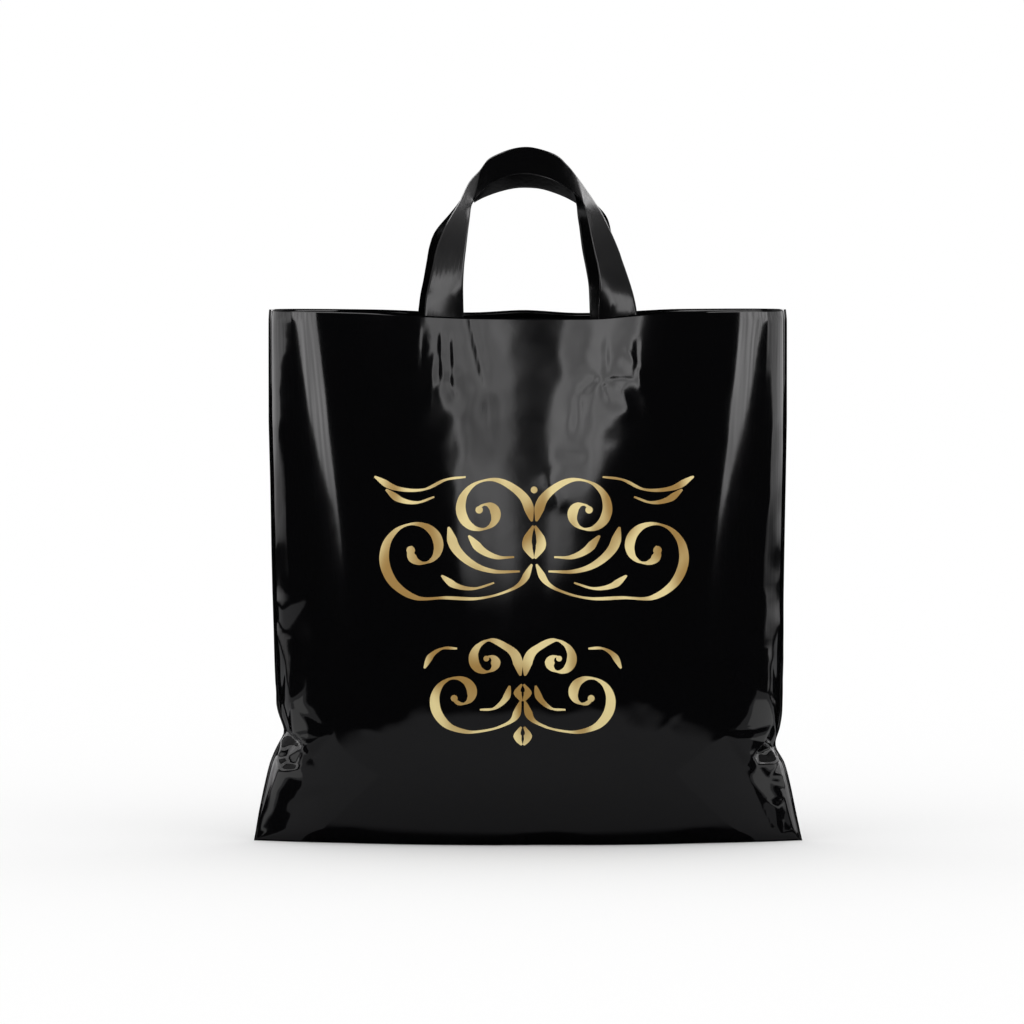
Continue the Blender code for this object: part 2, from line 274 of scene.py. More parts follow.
def smooth_table(rows, soften):
    keys = np.array(rows, dtype=float)
    fine = np.arange(keys[0, 0] - 60, keys[-1, 0] + 60, 0.5)
    first = (keys[1, 1] - keys[0, 1]) / (keys[1, 0] - keys[0, 0])
    last = (keys[-1, 1] - keys[-2, 1]) / (keys[-1, 0] - keys[-2, 0])
    values = np.interp(fine, keys[:, 0], keys[:, 1])
    values += np.minimum(fine - keys[0, 0], 0) * first + np.maximum(fine - keys[-1, 0], 0) * last
    reach = np.arange(-3 * soften, 3 * soften + 0.5, 0.5)
    weight = np.exp(-0.5 * (reach / soften) ** 2)
    values = np.convolve(np.pad(values, len(reach) // 2, mode="edge"), weight / weight.sum(), "valid")
    return lambda at: np.interp(at, fine, values[:len(fine)])


left_seam = smooth_table(LEFT_SEAM, 1.6)
right_seam = smooth_table(RIGHT_SEAM, 1.6)
calm_left = smooth_table(LEFT_SEAM, 16)
calm_right = smooth_table(RIGHT_SEAM, 16)
half_depth = smooth_table(HALF_DEPTH[3:], 16)
toe_depth = smooth_table(HALF_DEPTH[:5], 2)
blunt_of = smooth_table(BLUNT, 9)
square_of = smooth_table(SQUARE, 20)
rim_front = smooth_table(RIM_FRONT, 7)
rim_back = smooth_table(RIM_BACK, 7)


def ease(low, high, value):
    t = np.clip((value - low) / (high - low), 0, 1)
    return t * t * (3 - 2 * t)


def spot(u, z, centre, radius):
    # Soft round patch, 1 in its middle.
    return np.exp(-((u - centre[0]) / radius[0]) ** 2 - ((z - centre[1]) / radius[1]) ** 2)


def crease(u, z, start, end, height, width, rounding=0.8):
    # A fold that runs from start to end: a ridge, or a valley where height is negative.
    start, end = np.array(start, float), np.array(end, float)
    along = end - start
    length = np.hypot(*along)
    t = ((u - start[0]) * along[0] + (z - start[1]) * along[1]) / length ** 2
    across = ((u - start[0]) * along[1] - (z - start[1]) * along[0]) / length
    distance = np.sqrt(across ** 2 + rounding ** 2) - rounding
    ends = ease(-0.12, 0.2, t) * ease(1.12, 0.7, t)
    return height * np.exp(-distance / width) * ends


def waves(u, z, seed, longest, shortest, amplitude, count=26, upright=2.2):
    # Low swells in the film: a fixed set of sine waves that run mostly upright.
    random = np.random.default_rng(seed)
    total = np.zeros_like(u)
    for _ in range(count):
        length = random.uniform(shortest, longest)
        angle = random.uniform(0, math.pi)
        ku = math.cos(angle) * 2 * math.pi / length
        kz = math.sin(angle) * 2 * math.pi / length / upright
        total += np.sin(ku * u + kz * z + random.uniform(0, 2 * math.pi)) * length / longest
    return total * amplitude / math.sqrt(count)


def facets(u, z, seed, cell, height, count=5):
    # Crumpled film: flat facets that meet in sharp creases.
    random = np.random.default_rng(seed)
    total = np.zeros_like(u)
    for _ in range(count):
        angle = random.uniform(0, math.pi)
        length = cell * random.uniform(0.8, 1.9)
        along = (math.cos(angle) * u + math.sin(angle) * z) / length + random.uniform(0, 1)
        across = (math.cos(angle) * z - math.sin(angle) * u) / length
        along = along + random.uniform(0.1, 0.3) * np.sin(across * 2.1 + random.uniform(0, 6))
        fold = np.sqrt((2 * np.abs(along - np.round(along))) ** 2 + 0.006)
        total += (fold - 0.5) * length / cell
    return total * height / math.sqrt(count)


# Creases of the front film, in mm along the film from the middle and up from the floor: start,
# end, height and half width. The first ones outline the weld of the right leg and the puckers of
# the left one; the rest are pulls below the welds and the creases over the belly.
FRONT_CREASES = [((54.5, 356), (54.5, 329), -0.07, 1.1), ((76, 356), (76, 329), -0.06, 1.0),
                 ((54.5, 328), (76, 328), -0.06, 1.1), ((68, 350), (76, 338), 0.05, 1.0),
                 ((-77, 368), (-78, 330), 0.05, 1.0), ((-74, 360), (-75, 334), -0.05, 1.0),
                 ((-64, 360), (-63, 326), -0.06, 1.1), ((-61, 362), (-60, 330), 0.06, 1.0),
                 ((-56, 358), (-55, 322), -0.06, 1.1), ((-52, 360), (-52, 336), 0.05, 1.0),
                 ((-66, 345), (-70, 306), 0.06, 2.2), ((-57, 330), (-50, 312), -0.07, 1.8),
                 ((-42, 380), (-28, 318), -0.2, 4.0), ((-28, 318), (-25, 282), -0.16, 5.0),
                 ((48, 330), (36, 318), -0.14, 3.0), ((36, 318), (33, 288), -0.16, 4.0),
                 ((19, 276), (42, 273), -0.12, 3.0), ((12, 262), (26, 236), 0.2, 6.0),
                 ((53, 325), (58, 311), -0.1, 2.2), ((64, 324), (72, 300), 0.15, 4.0),
                 ((77, 336), (79.5, 320), 0.08, 2.0), ((80, 322), (114, 225), 0.3, 9.0),
                 ((88, 76), (124, 113), 0.4, 3.0),
                 ((124, 95), (137, 101), 0.25, 2.5), ((47, 86), (82, 131), 0.35, 7.0),
                 ((-93, 127), (-69, 100), 0.3, 5.0), ((-120, 84), (-100, 78), 0.25, 4.0),
                 ((100, 84), (118, 104), -0.3, 4.0), ((143, 78), (128, 70), 0.4, 3.0)]
# Crumpled film at the pinches and in the ears below them, as x, height and how far the film
# stands out, in mm. It is flat between these points and folds sharply where the flats meet.
LEFT_CRUMPLE = [(-188, 178, 0), (-150, 178, 0), (-142, 120, 0), (-139, 78, 0), (-136, 40, 0), (-140, 8, 0),
                (-196, 2, 0), (-174, 100, 0), (-168.2, 78, 0), (-177.4, 58.7, 0), (-182, 34, 0),
                (-173, 165, 0.3), (-172, 150, -0.3), (-171, 129, 0.8), (-166, 100, 2.6), (-162, 78, 5.0),
                (-155, 68.5, 3.2), (-152, 63, -0.3), (-164.5, 73, -2.6), (-158.8, 67, 0.8),
                (-166.6, 70.4, -1.4), (-173.6, 65.5, 1.4), (-171, 61, -1.0), (-166, 55.2, -1.2),
                (-161, 53, 1.4), (-175, 52, 1.4), (-156, 40.4, 1.8), (-174, 33.3, 0.4),
                (-151, 34.7, 0.2), (-161, 28.4, -1.0), (-178, 14, -0.3)]
RIGHT_CRUMPLE = [(188, 178, 0), (150, 178, 0), (142, 120, 0), (139, 78, 0), (136, 40, 0), (140, 6, 0),
                 (196, 2, 0), (175.5, 100, 0), (170.6, 70, 0), (177, 56, 0), (182, 37, 0),
                 (173, 163, 0.3), (171, 140, 0.9), (167, 106, 2.6), (171, 85, 3.0), (163, 73, 5.0),
                 (155, 60.5, 3.2), (152, 55, 0), (168, 74, -3.2), (163, 64, -2.4), (170, 67, 0.8),
                 (175, 57, 1.4), (162, 55, -0.6), (156.3, 50, -0.4), (169, 45.3, -0.7), (160, 58, 0.6),
                 (179, 47, 1.2), (175, 24, 1.2), (181, 30, 0.3), (180, 17, -0.5), (186, 7, 1.2),
                 (165, 30, 0.2), (178, 3, 0)]
# Height of the strip along the bottom fold that turns under, at each x, in mm.
TURNED_SLOPE = 0.6
TURNED_UNDER = [(-190, 3), (-165, 3), (-150, 8), (-125, 10.5), (-106, 6), (-60, 3.5), (-20, 4.5),
                (0, 8), (20, 9.5), (39, 6), (70, 3.5), (95, 5), (110, 9), (130, 10), (145, 6),
                (165, 3), (190, 3)]
turned_under = smooth_table(TURNED_UNDER, 5)


def crumple(points, x, z):
    # Height of the flat facets between the points, from a Delaunay net.
    out = np.zeros_like(x)
    for face in delaunay_2d_cdt([Vector(p[:2]) for p in points], [], [], 0, 0.001)[2]:
        (ax, az, ah), (bx, bz, bh), (cx, cz, ch) = [points[i] for i in face]
        area = (bx - ax) * (cz - az) - (cx - ax) * (bz - az)
        to_b = ((x - ax) * (cz - az) - (cx - ax) * (z - az)) / area
        to_c = ((bx - ax) * (z - az) - (x - ax) * (bz - az)) / area
        inside = (to_b >= 0) & (to_c >= 0) & (to_b + to_c <= 1)
        out = np.where(inside, ah + to_b * (bh - ah) + to_c * (ch - ah), out)
    return out


def front_folds(u, z, in_left, in_right):
    out = waves(u, z, 7, 120, 45, 0.07) * ease(5, 50, z)
    out = out + waves(u, z, 12, 34, 16, 0.015) + facets(u, z, 35, 22, 0.08) * spot(u, z, (0, 310), (80, 80))
    # The film hangs smooth down its middle.
    out = out * (1 - spot(u, 0, (1, 0), (27, 1)))
    # The grey table's mirrored edge over the belly is ragged.
    out = out + waves(u, z, 19, 60, 22, 0.22, upright=1.0) * spot(0, z, (0, 95), (1, 38))
    out = out + facets(u, z, 37, 24, 0.25) * spot(0, z, (0, 105), (1, 26))
    # Slack film beside the welds and below them.
    out = out + facets(u, z, 31, 9, 0.035) * spot(u, z, (-62, 342), (17, 26))
    out = out + facets(u, z, 32, 10, 0.03) * spot(u, z, (60, 322), (26, 32))
    for start, end, height, width in FRONT_CREASES:
        out = out + crease(u, z, start, end, height, width)
    return out + side_folds(z, in_left, in_right, 40)


def back_folds(u, z, in_left, in_right):
    out = waves(u, z, 23, 120, 45, 0.2) * ease(5, 50, z)
    out = out + waves(u, z, 24, 60, 24, 0.3, upright=1.0) * spot(0, z, (0, 100), (1, 38))
    out = out + facets(u, z, 33, 16, 0.25) * spot(u, z, (-62, 335), (22, 30))
    out = out + facets(u, z, 34, 16, 0.25) * spot(u, z, (58, 335), (22, 30))
    return out + side_folds(z, in_left, in_right, 60)


def side_folds(z, in_left, in_right, left_seed):
    # Small upright crumples beside the seams, and finer ones over the facets of the pinches.
    out = np.zeros_like(z + in_left)
    for inward, pinch, seed in ((in_left, LEFT_PINCH_Z, left_seed),
                                (in_right, RIGHT_PINCH_Z, left_seed + 1)):
        held = ease(0, 7, inward)
        edge = ease(46, 8, inward)
        out = out + facets(inward * 2, z, seed, 26, 0.1) * edge * held
        out = out + facets(inward * 2, z, seed + 2, 40, 0.3) * edge * held * spot(0, z, (0, 150), (1, 70))
        out = out + facets(inward, z, seed + 4, 15, 0.3) * held * spot(inward, z, (8, pinch), (34, 17))
        out = out + facets(inward, z, seed + 6, 34, 0.3) * held * spot(inward, z, (12, 34), (34, 22))
    return out


def spread(low, high, count, density):
    # Places of a grid's lines, which are closer together where density is higher.
    fine = np.linspace(low, high, 4000)
    total = np.cumsum(density(fine))
    return np.interp(np.linspace(total[0], total[-1], count), total, fine)


def base_panel(side, s, level):
    # The panel without its folds, at each share s of its half width and each level, in mm.
    left, right = calm_left(level), calm_right(level)
    half = (right - left) / 2 - SEAM_WIDTH
    x = (left + right) / 2 + half * s
    # Only the film beside the seams is drawn in at the pinches.
    x = x + (left_seam(level) - left) * ease(-0.8, -1, s) + (right_seam(level) - right) * ease(0.8, 1, s)
    belly = level - BELLY_SAG * (1 - s * s) * ease(30, 90, level) * ease(260, 130, level)
    depth = half_depth(belly) + (toe_depth(level) - toe_depth(TOE_TOP)
                                 - (half_depth(level) - half_depth(TOE_TOP))) * ease(26, 14, level)
    depth = depth - TURNED_SLOPE * np.maximum(turned_under(x) - level, 0)
    y = depth * np.clip(1 - np.abs(s) ** square_of(level), 0, 1) ** blunt_of(level)
    # The rim's swing takes up the rows above RIM_FROM.
    rim = rim_front(x) if side < 0 else rim_back(x)
    stretched = RIM_FROM + (level - RIM_FROM) * (rim - RIM_FROM) / (MOUTH_Z - RIM_FROM)
    z = np.where(level > RIM_FROM, stretched, level + 0 * x)
    return np.stack([x, side * y, z], axis=-1)


def panel(side, s, level):
    # Grid of points of one panel, rows from the bottom fold up to the mouth.
    s, level = s[None, :], level[:, None]
    base = base_panel(side, s, level)
    # Distance along the film from the middle and from the two seams.
    run = np.cumsum(np.hypot(np.diff(base[:, :, 0]), np.diff(base[:, :, 1])), axis=1)
    run = np.hstack([np.zeros((len(base), 1)), run])
    from_right = run[:, -1:] - run
    middle = np.array([np.interp(0.0, base[r, :, 0], run[r]) for r in range(len(base))])[:, None]
    folds = front_folds if side < 0 else back_folds
    lift = folds(run - middle, base[:, :, 2], run, from_right)
    pinched = crumple(LEFT_CRUMPLE, base[:, :, 0], base[:, :, 2])
    pinched += crumple(RIGHT_CRUMPLE, base[:, :, 0], base[:, :, 2])
    lift = lift + pinched * ease(0, 4, run) * ease(0, 4, from_right)
    across = np.gradient(base, axis=1)
    upward = np.gradient(base, level[:, 0], axis=0) if len(base) > 1 else np.array([[[0, 0, 1.0]]])
    normal = np.cross(across, upward)
    normal = normal / np.maximum(np.linalg.norm(normal, axis=2, keepdims=True), 1e-9)
    surface = base + (normal if side < 0 else -normal) * lift[:, :, None]
    surface[:, :, 1] = side * np.maximum(side * surface[:, :, 1], MIDDLE_CLEAR)
    surface[:, :, 2] = np.maximum(surface[:, :, 2], FLOOR_CLEAR)
    # The flat welded seam stands out beside the panel.
    steps = np.arange(1, SEAM_COLUMNS + 1) / SEAM_COLUMNS
    flaps = []
    for edge, away, order in ((surface[:, :1], -1, -1), (surface[:, -1:], 1, 1)):
        flap = np.repeat(edge, SEAM_COLUMNS, axis=1)
        flap[:, :, 0] += away * SEAM_WIDTH * steps[None, ::order]
        flap[:, :, 1] = 0
        flaps.append(flap)
    surface = np.concatenate([flaps[0], surface, flaps[1]], axis=1)
    surface[:, :, 1] += side * FILM_THICK / MM / 2
    return surface


def ridge_height(x):
    # The gusset lies flat in the middle and climbs as a ridge to the pinch at each end.
    top = np.where(x > 0, 67.0, 76.0)
    seam_top = np.where(x > 0, 169.5, 167.0)
    climb = top * np.clip((np.abs(x) - RIDGE_START) / (seam_top - RIDGE_START), 0, 1) ** 1.15
    fall = np.clip((RIDGE_END - np.abs(x)) / (RIDGE_END - seam_top), 0, 1) ** 0.8 * top
    return np.minimum(climb, fall)


def gusset(front_edge, back_edge, rungs=16):
    # Film between the two bottom folds, one row of points for each rung.
    rows = []
    for i in range(rungs):
        t = i / rungs
        x = front_edge[:, 0] * (1 - t) + back_edge[:, 0] * t
        y = front_edge[:, 1] * (1 - t) + back_edge[:, 1] * t
        lift = 1 - abs(2 * t - 1)
        z = ridge_height(x) * lift + FLOOR_CLEAR + 0.5 * (1 + np.sin(x * 0.11 + 3 * t)) * lift
        rows.append(np.stack([x, y, z], axis=-1))
    return rows


def grid_faces(rows, width, offset, flip):
    faces = []
    for r in range(rows - 1):
        for c in range(width - 1):
            a = offset + r * width + c
            quad = (a, a + 1, a + width + 1, a + width)
            faces.append(quad[::-1] if flip else quad)
    return faces


def weld_density(angle):
    # Columns lie closer at the welds of the two legs.
    return 1 + 1.3 * (np.exp(-((angle + 0.34) / 0.13) ** 2) + np.exp(-((angle - 0.37) / 0.13) ** 2))


def row_density(z):
    # Rows lie closer at the pinches, at the bottom fold and at the welds.
    return (0.28 + 0.4 * np.exp(-((z - 75) / 38) ** 2) + 0.2 * np.exp(-(z / 20) ** 2)
            + 0.5 * ease(306, 334, z))


FRONT_COLUMNS, FRONT_ROWS = 201, 166
BACK_COLUMNS, BACK_ROWS = 101, 86
fine_s = np.sin(spread(-math.pi / 2, math.pi / 2, FRONT_COLUMNS, weld_density))
fine_levels = spread(0, MOUTH_Z, FRONT_ROWS, row_density)
plain_s = np.sin(np.linspace(-math.pi / 2, math.pi / 2, BACK_COLUMNS))
plain_levels = spread(0, MOUTH_Z, BACK_ROWS, row_density)
front = panel(-1, fine_s, fine_levels)
back = panel(1, plain_s, plain_levels)
front_toe = panel(-1, plain_s, plain_levels[:2])[0]
under = gusset(front_toe, back[0])
rear = under + [back[r] for r in range(BACK_ROWS)]
front_points = front.reshape(-1, 3)
rear_points = np.concatenate(rear)
film_faces = grid_faces(FRONT_ROWS, front.shape[1], 0, False)
film_faces += grid_faces(len(rear), back.shape[1], len(front_points), True)
body_mesh = bpy.data.meshes.new("bag_film")
body_mesh.from_pydata([tuple(p) for p in np.concatenate([front_points, rear_points]) * MM], [], film_faces)
film = bpy.data.objects.new("bag_film", body_mesh)
scene.collection.objects.link(film)
body_mesh.shade_smooth()
skin = film.modifiers.new("thickness", "SOLIDIFY")
skin.thickness = FILM_THICK
skin.offset = 0.0


# LDPE film: black master batch blown into glossy film. It mirrors the studio softly, and its
# surface has faint upright die lines and a slight orange peel, at these spacings in mm.
DIE_LINE_SPACING = 2.5
PEEL_SPACING = 22


def blown_film(name, colour, roughness, streaks, peel_height):
    material, shader = new_material(name)
    where = add_node(material, "ShaderNodeTexCoord").outputs["Object"]
    upright = add_node(material, "ShaderNodeMapping", Vector=where, Scale=(1.0, 1.0, 0.08))
    lines = add_node(material, "ShaderNodeTexNoise", Vector=upright.outputs["Vector"],
                     Scale=1000 / DIE_LINE_SPACING, Detail=2.0)
    peel = add_node(material, "ShaderNodeTexNoise", Vector=where, Scale=1000 / PEEL_SPACING, Detail=3.0)
    mixed = add_node(material, "ShaderNodeMath", {"operation": "MULTIPLY_ADD"},
                     _0=lines.outputs["Fac"], _1=streaks, _2=peel.outputs["Fac"])
    bump = add_node(material, "ShaderNodeBump", Height=mixed.outputs["Value"], Strength=0.3,
                    Distance=peel_height)
    haze = add_node(material, "ShaderNodeMapRange", Value=peel.outputs["Fac"], From_Min=0.3,
                    From_Max=0.7, To_Min=roughness * 0.85, To_Max=roughness * 1.2)
    tree = material.node_tree
    tree.links.new(bump.outputs["Normal"], shader.inputs["Normal"])
    tree.links.new(haze.outputs["Result"], shader.inputs["Roughness"])
    shader.inputs["Base Color"].default_value = srgb(colour)
    shader.inputs["IOR"].default_value = 1.5
    shader.inputs["Specular IOR Level"].default_value = 0.45
    return material


body_mesh.materials.append(blown_film("blown_ldpe_film", "#060607", 0.06, 0.03, 0.06 * MM))
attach(film, "root")
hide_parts("bag_body")

# Handles: soft loops of folded film, heat welded inside the panels at both ends. Each one rises
# from the mouth, turns its width towards its partner at the shoulders and arches over.
STRIP_WIDTH = 27.5
STRIP_THICK = 0.3 * MM
LAY_OFF = 0.55
TAIL_LENGTH = 49
TAIL_TOP_DROP = 7
LEG_HALF = 61
LOOP_RISE = 105
MOUTH_DEPTH = 45.5
FRONT_SHIFT = 1.9
BACK_SHIFT = -3.6

# Stations from the left leg over the arch: x as a share of the legs' half spacing, rise above
# the mouth as a share of the loop's, distance from the bag's middle as a share of the mouth's
# depth, the direction of the strip's outer edge, and how far the strip is turned side on.
FRONT_LOOP_SHARES = [(-0.997, 0.076, 0.94, 179, 15), (-0.98, 0.171, 0.9, 177, 28),
                     (-0.951, 0.295, 0.84, 175, 37), (-0.918, 0.41, 0.77, 173, 42),
                     (-0.861, 0.538, 0.69, 170, 53), (-0.807, 0.629, 0.63, 166, 63),
                     (-0.762, 0.7, 0.59, 160, 71), (-0.726, 0.752, 0.57, 142, 72),
                     (-0.68, 0.794, 0.57, 105, 60), (-0.623, 0.835, 0.58, 80, 42),
                     (-0.556, 0.883, 0.52, 85, 47), (-0.451, 0.938, 0.45, 95, 52),
                     (-0.244, 0.986, 0.4, 93, 50), (-0.057, 1.0, 0.38, 90, 48),
                     (0.116, 0.983, 0.4, 88, 48), (0.289, 0.947, 0.44, 86, 50),
                     (0.433, 0.886, 0.49, 96, 51), (0.546, 0.822, 0.54, 105, 48),
                     (0.613, 0.764, 0.55, 84, 67), (0.672, 0.71, 0.57, 30, 74),
                     (0.748, 0.61, 0.63, 20, 66), (0.859, 0.413, 0.76, 8, 53),
                     (0.908, 0.316, 0.82, 4, 49), (0.959, 0.195, 0.88, 2, 41),
                     (0.987, 0.081, 0.93, 0, 27)]
BACK_LOOP_SHARES = [(-0.977, 0.076, 0.94, 179, 14), (-0.957, 0.171, 0.9, 178, 25),
                    (-0.936, 0.292, 0.84, 176, 34), (-0.911, 0.4, 0.78, 174, 38),
                    (-0.866, 0.495, 0.71, 168, 46), (-0.757, 0.61, 0.64, 163, 62),
                    (-0.679, 0.69, 0.59, 158, 70), (-0.633, 0.738, 0.57, 140, 71),
                    (-0.59, 0.767, 0.57, 105, 60), (-0.534, 0.8, 0.58, 82, 45),
                    (-0.457, 0.824, 0.52, 88, 49), (-0.326, 0.854, 0.46, 95, 51),
                    (-0.154, 0.882, 0.41, 93, 50), (-0.007, 0.891, 0.39, 90, 50),
                    (0.174, 0.886, 0.4, 88, 50), (0.321, 0.865, 0.44, 87, 50),
                    (0.466, 0.83, 0.48, 92, 50), (0.57, 0.792, 0.54, 100, 49),
                    (0.636, 0.748, 0.56, 80, 64), (0.715, 0.686, 0.58, 34, 62),
                    (0.813, 0.581, 0.65, 8, 41), (0.866, 0.4, 0.77, 4, 36),
                    (0.925, 0.257, 0.85, 2, 30), (0.966, 0.162, 0.9, 1, 22),
                    (0.987, 0.076, 0.94, 0, 12)]
TAIL_SHARES = (0, 0.25, 0.5, 0.75, 0.9, 1)
ACROSS = 17
STEPS = 8

film_tree = BVHTree.FromPolygons([v.co for v in body_mesh.vertices],
                                 [tuple(f.vertices) for f in body_mesh.polygons])


def inside_panel(x, z, side):
    hit = film_tree.ray_cast(Vector((x * MM, 0, z * MM)), Vector((0, side, 0)))[0]
    return hit.y / MM - side * LAY_OFF


def smooth_rows(rows, steps):
    # Catmull-Rom curve through the stations.
    rows = np.array(rows, float)
    padded = np.vstack([2 * rows[0] - rows[1], rows, 2 * rows[-1] - rows[-2]])
    out = []
    for i in range(1, len(padded) - 2):
        p0, p1, p2, p3 = padded[i - 1:i + 3]
        for step in range(steps):
            t = step / steps
            out.append(0.5 * (2 * p1 + (p2 - p0) * t + (2 * p0 - 5 * p1 + 4 * p2 - p3) * t * t
                              + (3 * p1 - p0 - 3 * p2 + p3) * t ** 3))
    out.append(rows[-1])
    return np.array(out)


def strip_rows(loop, side, sheen_share):
    # Middle of the strip and the direction to its outer edge, for each station.
    arch = []
    for along, rise, depth, lean, turn in loop:
        lean, turn = math.radians(lean), math.radians(turn)
        arch.append((sheen_share + along * LEG_HALF, side * depth * MOUTH_DEPTH, MOUTH_Z + rise * LOOP_RISE,
                     math.cos(lean) * math.cos(turn), -side * math.sin(turn),
                     math.sin(lean) * math.cos(turn)))
    tails = []
    for leg in (-1, 1):
        x = sheen_share + leg * LEG_HALF
        tail = []
        for share in TAIL_SHARES:
            z = MOUTH_Z - TAIL_LENGTH * (1 - share) - TAIL_TOP_DROP * share
            outer = inside_panel(x + leg * STRIP_WIDTH / 2, z, side)
            inner = inside_panel(x - leg * STRIP_WIDTH / 2, z, side)
            tail.append((x, inside_panel(x, z, side), z, leg, (outer - inner) / STRIP_WIDTH, 0))
        tails.append(tail)
    return tails[0] + arch + tails[1][::-1]


def handle(name, loop, side, sheen_share):
    rows = smooth_rows(strip_rows(loop, side, sheen_share), STEPS)
    middle, outward = rows[:, None, :3], rows[:, None, 3:]
    outward = outward / np.linalg.norm(outward, axis=2, keepdims=True)
    across = np.linspace(1, -1, ACROSS)[None, :, None]
    surface = middle + outward * across * STRIP_WIDTH / 2
    mesh = bpy.data.meshes.new(name)
    mesh.from_pydata([tuple(p) for p in surface.reshape(-1, 3) * MM], [],
                     grid_faces(len(rows), ACROSS, 0, side > 0))
    mesh.shade_smooth()
    piece = bpy.data.objects.new(name, mesh)
    scene.collection.objects.link(piece)
    skin = piece.modifiers.new("thickness", "SOLIDIFY")
    skin.thickness = STRIP_THICK
    skin.offset = 0.0
    mesh.materials.append(strip_film)
    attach(piece, "root")
    return piece


strip_film = blown_film("folded_ldpe_strip", "#070708", 0.2, 0.8, 0.3 * MM)
front_loop = handle("front_loop", FRONT_LOOP_SHARES, -1, FRONT_SHIFT)
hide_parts("front_handle")
back_loop = handle("back_loop", BACK_LOOP_SHARES, 1, BACK_SHIFT)
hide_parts("back_handle")

# Print: a scroll ornament in gold ink on the front panel, two rows of curls and leaves with
# mirrored halves. Its flat pen strokes are pressed on the film by a Geometry Nodes ray cast.
NIB_END = 1.2
NIB_THIN = 1.5
NIB_THICK = 7.0
NIB_TURN = 14
STROKE_TAPER = 9.0
STROKE_LANES = 4
INK_LIFT = 0.04
UPPER_MIDDLE = (4, 213)
LOWER_MIDDLE = (-4, 111)


def curl(centre, radii, angles, count):
    # Spiral that tightens from the first radius to the second, angles in degrees.
    t = np.linspace(0, 1, count)
    angle = np.radians(angles[0] + (angles[1] - angles[0]) * t)
    radius = radii[0] * (radii[1] / radii[0]) ** t
    return list(zip(centre[0] + radius * np.cos(angle), centre[1] + radius * np.sin(angle)))


# Right half of each row: pen strokes through these points, then dots as place and radius, in mm
# from the row's middle.
UPPER_STROKES = [[(1.5, -14), (9, -27), (22, -34), (40, -38)] + curl((80, -4), (38, 6), (-118, 385), 17),
                 [(1.5, 16), (6, 31), (17, 41)] + curl((35, 22), (24, 4.5), (105, -330), 15),
                 [(48, 47), (62, 45), (78, 38), (97, 39), (112, 47)],
                 [(70, 33), (82, 29), (94, 31), (104, 38)],
                 [(60, 12), (55, -3), (43, -14), (28, -19), (10, -19)],
                 [(14, -9), (26, -9), (37, -4), (46, 6)],
                 [(28, -27), (42, -31), (55, -29), (65, -22)],
                 [(0.6, 13), (4.5, 4), (4.5, -2), (0.6, -10)]]
UPPER_DOTS = [((86.5, -4.5), 3.0), ((38.5, 24), 2.6), ((0, 38), 2.4)]
LOWER_STROKES = [[(1.5, -8), (6, -20), (16, -26), (28, -29)] + curl((44, -4), (26, 4.5), (-100, 330), 15),
                 [(1.5, 10), (5, 24), (13, 31)] + curl((24, 20), (15, 3), (95, -300), 13),
                 [(30, -14), (20, -13), (12, -6), (9, 3)],
                 [(46, 29), (56, 29), (64, 24), (69, 15)],
                 [(0.6, 4), (3.2, 0), (3.2, -3), (0.6, -8)],
                 [(1, -26), (3.5, -31), (3, -35), (0.6, -39)]]
LOWER_DOTS = [((48, -6), 2.4), ((25.5, 22), 2.0)]


def pen_stroke(points):
    # Rows of points across a stroke of a broad nib: thick where it runs upright, fine at its ends.
    line = smooth_rows(points, 12)
    way = np.gradient(line, axis=0)
    way = way / np.hypot(way[:, 0], way[:, 1])[:, None]
    run = np.concatenate([[0], np.cumsum(np.hypot(*np.diff(line, axis=0).T))])
    swell = np.abs(np.sin(np.arctan2(way[:, 1], way[:, 0]) + math.radians(NIB_TURN))) ** 1.5
    width = (NIB_THICK - NIB_THIN) * swell + NIB_THIN
    ends = np.clip(np.minimum(run, run[-1] - run) / STROKE_TAPER, 0, 1) ** 0.8
    width = NIB_END + (width - NIB_END) * ends
    side = np.stack([-way[:, 1], way[:, 0]], axis=1) * width[:, None] / 2
    lanes = np.linspace(1, -1, STROKE_LANES)[None, :, None]
    return line[:, None, :] + side[:, None, :] * lanes


ink_points, ink_faces, ink_lifts = [], [], []
layer = 0
for strokes, dots, middle in ((UPPER_STROKES, UPPER_DOTS, UPPER_MIDDLE),
                              (LOWER_STROKES, LOWER_DOTS, LOWER_MIDDLE)):
    for mirror in (1, -1):
        patches = [pen_stroke(points) for points in strokes]
        for (x, z), radius in dots:
            turns = np.radians(np.arange(0, 360, 18))
            patches.append(np.stack([x + radius * np.cos(turns), z + radius * np.sin(turns)], axis=1))
        for patch in patches:
            layer += 1
            flat = patch.reshape(-1, 2) * (mirror, 1) + middle
            start = len(ink_points)
            ink_points += [(x * MM, -0.2, z * MM) for x, z in flat]
            ink_lifts += [INK_LIFT * (1 + layer % 5) * MM] * len(flat)
            if patch.ndim == 3:
                ink_faces += grid_faces(len(patch), STROKE_LANES, start, mirror < 0)
            else:
                ink_faces.append(tuple(range(start, start + len(flat)))[::mirror])
ink_mesh = bpy.data.meshes.new("gold_scrolls")
ink_mesh.from_pydata(ink_points, [], ink_faces)
ink_mesh.attributes.new("lift", "FLOAT", "POINT").data.foreach_set("value", ink_lifts)
scrolls = bpy.data.objects.new("gold_scrolls", ink_mesh)
scene.collection.objects.link(scrolls)
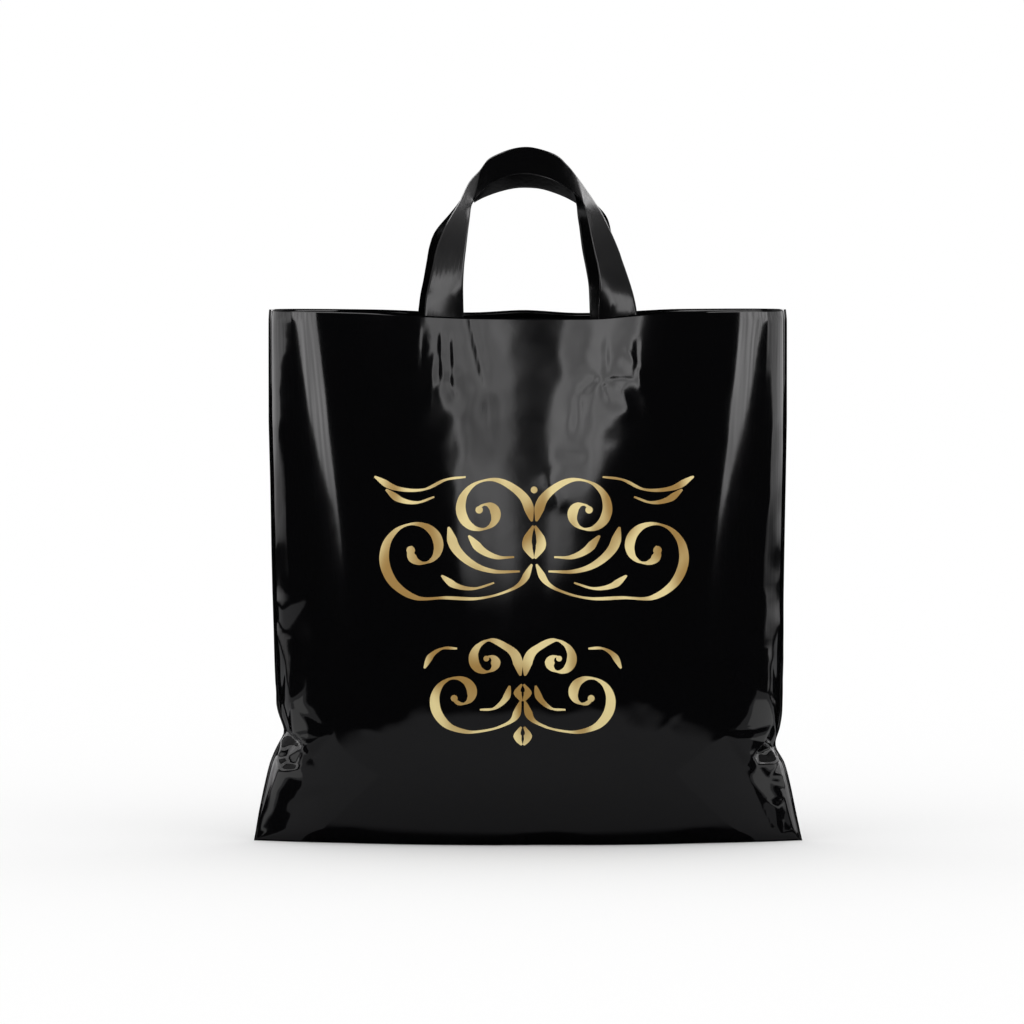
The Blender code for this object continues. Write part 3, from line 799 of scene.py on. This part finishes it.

# Gold foil ink: a satin deep gold, painted paler in slanted patches along the strokes as a painted sheen
# where the foil catches the light.
gold, gold_shader = new_material("gold_foil_ink")
gold_place = add_node(gold, "ShaderNodeTexCoord").outputs["Object"]
slanted = add_node(gold, "ShaderNodeMapping", Vector=gold_place, Rotation=(0, 0.5, 0), Scale=(1.6, 1, 0.8))
painted_sheen = add_node(gold, "ShaderNodeTexNoise", Vector=slanted.outputs["Vector"], Scale=1000 / 42, Detail=1.0)
sheen_share = add_node(gold, "ShaderNodeMapRange", {"interpolation_type": "SMOOTHSTEP"},
                 Value=painted_sheen.outputs["Fac"], From_Min=0.36, From_Max=0.62)
# The pale colour is a painted highlight over the deep gold of the ink.
gold_with_painted_sheen = add_node(gold, "ShaderNodeMix", {"data_type": "RGBA"}, Factor=sheen_share.outputs["Result"],
                     _6=srgb("#A07B36"), _7=srgb("#E9D698"))
gold.node_tree.links.new(gold_with_painted_sheen.outputs[2], gold_shader.inputs["Base Color"])
gold_shader.inputs["Metallic"].default_value = 0.15
gold_shader.inputs["Roughness"].default_value = 0.42

press = bpy.data.node_groups.new("press_on_film", "GeometryNodeTree")
press.interface.new_socket("Strokes", in_out="INPUT", socket_type="NodeSocketGeometry")
press.interface.new_socket("Film", in_out="INPUT", socket_type="NodeSocketObject")
press.interface.new_socket("Ink", in_out="INPUT", socket_type="NodeSocketMaterial")
press.interface.new_socket("Print", in_out="OUTPUT", socket_type="NodeSocketGeometry")
given = press.nodes.new("NodeGroupInput")
target = add_node(press, "GeometryNodeObjectInfo", Object=given.outputs["Film"])
ray = add_node(press, "GeometryNodeRaycast", Target_Geometry=target.outputs["Geometry"],
               Ray_Direction=(0.0, 1.0, 0.0), Ray_Length=1.0)
lift = add_node(press, "GeometryNodeInputNamedAttribute", {"data_type": "FLOAT"}, Name="lift")
back_off = add_node(press, "ShaderNodeVectorMath", {"operation": "SCALE"}, _0=(0.0, -1.0, 0.0),
                    Scale=lift.outputs["Attribute"])
raised = add_node(press, "ShaderNodeVectorMath", {"operation": "ADD"},
                  _0=ray.outputs["Hit Position"], _1=back_off.outputs["Vector"])
placed = add_node(press, "GeometryNodeSetPosition", Geometry=given.outputs["Strokes"],
                  Position=raised.outputs["Vector"])
real = add_node(press, "GeometryNodeRealizeInstances", Geometry=placed.outputs["Geometry"])
inked = add_node(press, "GeometryNodeSetMaterial", Geometry=real.outputs["Geometry"],
                 Material=given.outputs["Ink"])
add_node(press, "NodeGroupOutput", Print=inked.outputs["Geometry"])
pressing = scrolls.modifiers.new("press", "NODES")
pressing.node_group = press
pressing[press.interface.items_tree["Film"].identifier] = film
pressing[press.interface.items_tree["Ink"].identifier] = gold
bpy.context.view_layer.update()
pressed = bpy.data.meshes.new_from_object(scrolls.evaluated_get(bpy.context.evaluated_depsgraph_get()))
scrolls.modifiers.clear()
scrolls.data = pressed
pressed.shade_smooth()
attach(scrolls, "root")
